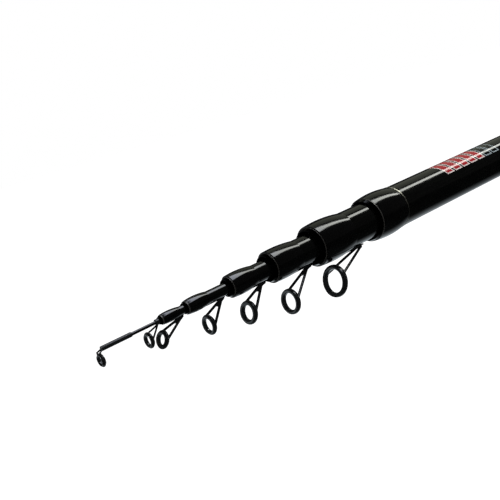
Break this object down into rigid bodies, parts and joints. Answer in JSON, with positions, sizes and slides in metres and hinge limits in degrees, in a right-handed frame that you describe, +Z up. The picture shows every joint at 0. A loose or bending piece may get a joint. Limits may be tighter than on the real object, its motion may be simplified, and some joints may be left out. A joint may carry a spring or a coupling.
{
  "type": "telescopic fishing rod",
  "caption": "Closed telescopic fishing rod: nested tapered blanks with ring guides, reel seat with screw-down hood, foam grips and a screw-off butt cap.",
  "frame": {"origin": "middle of the flat rear face of the butt cap, on the rod's axis", "axes": "+X along the rod from the butt towards the tip, +Z up, line guides and reel foot to -Z"},
  "size_m": [0.7109, 0.029, 0.0392],
  "materials": {
    "blank_lacquer": "glossy black lacquer over a carbon blank",
    "wrap_lacquer": "thread wrapping under thick clear black lacquer",
    "trim_metal": "thin pale gold trim line",
    "guide_metal": "smooth dark gunmetal plating",
    "guide_ceramic": "polished dark grey ceramic",
    "grip_foam": "fine-celled black foam",
    "seat_plastic": "satin black moulding",
    "nut_metal": "dark anodised, turned",
    "cap_metal": "dark anodised, turned",
    "seal_rubber": "soft black rubber"
  },
  "bodies": {
    "handle": {"butt_section": "blank_lacquer", "butt_wrap": "wrap_lacquer", "butt_trim_rings": "trim_metal", "threaded_bush": "cap_metal", "rear_grip": "grip_foam", "reel_seat": "seat_plastic", "fixed_hood": "seat_plastic", "fore_grip": "grip_foam", "check_ring": "nut_metal"},
    "cap_carrier": {"cap_cushion": "seal_rubber"},
    "cap": {"butt_cap": "cap_metal", "cap_seal": "seal_rubber"},
    "hood": {"sliding_hood": "seat_plastic"},
    "nut": {"lock_nut": "nut_metal"},
    "drawn_2": {"section_2": "blank_lacquer", "mouth_wrap_2": "wrap_lacquer", "trim_ring_2": "trim_metal", "guide_frame_2": "guide_metal", "guide_ring_2": "guide_ceramic"},
    "drawn_3": {"section_3": "blank_lacquer", "mouth_wrap_3": "wrap_lacquer", "trim_ring_3": "trim_metal", "guide_frame_3": "guide_metal", "guide_ring_3": "guide_ceramic"},
    "drawn_4": {"section_4": "blank_lacquer", "mouth_wrap_4": "wrap_lacquer", "trim_ring_4": "trim_metal", "guide_frame_4": "guide_metal", "guide_ring_4": "guide_ceramic"},
    "drawn_5": {"section_5": "blank_lacquer", "mouth_wrap_5": "wrap_lacquer", "trim_ring_5": "trim_metal", "guide_frame_5": "guide_metal", "guide_ring_5": "guide_ceramic"},
    "drawn_6": {"section_6": "blank_lacquer", "mouth_wrap_6": "wrap_lacquer", "trim_ring_6": "trim_metal", "guide_frame_6": "guide_metal", "guide_ring_6": "guide_ceramic"},
    "tip": {"tip_section": "blank_lacquer", "tip_guide_frame": "guide_metal", "tip_guide_ring": "guide_ceramic"},
    "floating_guide": {"floating_guide_frame": "guide_metal", "floating_guide_ring": "guide_ceramic"}
  },
  "joints": [
    {"name": "cap_unscrew", "type": "slide", "parent": "handle", "child": "cap_carrier", "axis": [-1, 0, 0], "range_m": [0, 0.014]},
    {"name": "cap_turn", "type": "hinge", "parent": "cap_carrier", "child": "cap", "pos_m": [0, 0, 0], "axis": [-1, 0, 0], "range_deg": [0, 3360]},
    {"name": "hood_slide", "type": "slide", "parent": "handle", "child": "hood", "axis": [-1, 0, 0], "range_m": [0, 0.024]},
    {"name": "nut_turn", "type": "hinge", "parent": "hood", "child": "nut", "pos_m": [0.2109, 0, 0], "axis": [-1, 0, 0], "range_deg": [0, 2880]},
    {"name": "draw_2", "type": "slide", "parent": "handle", "child": "drawn_2", "axis": [1, 0, 0], "range_m": [0, 0.4767]},
    {"name": "draw_3", "type": "slide", "parent": "drawn_2", "child": "drawn_3", "axis": [1, 0, 0], "range_m": [0, 0.5182]},
    {"name": "draw_4", "type": "slide", "parent": "drawn_3", "child": "drawn_4", "axis": [1, 0, 0], "range_m": [0, 0.5485]},
    {"name": "draw_5", "type": "slide", "parent": "drawn_4", "child": "drawn_5", "axis": [1, 0, 0], "range_m": [0, 0.5747]},
    {"name": "draw_6", "type": "slide", "parent": "drawn_5", "child": "drawn_6", "axis": [1, 0, 0], "range_m": [0, 0.6003]},
    {"name": "draw_tip", "type": "slide", "parent": "drawn_6", "child": "tip", "axis": [1, 0, 0], "range_m": [0, 0.6165]},
    {"name": "guide_stays_back", "type": "slide", "parent": "tip", "child": "floating_guide", "axis": [1, 0, 0], "range_m": [-0.2035, 0]}
  ],
  "couplings": [
    {"joint": "cap_turn", "follows": "cap_unscrew", "rad_per_m": 4188.8},
    {"joint": "nut_turn", "follows": "hood_slide", "rad_per_m": 2094.4},
    {"joint": "guide_stays_back", "follows": "draw_tip", "ratio": -0.33}
  ]
}
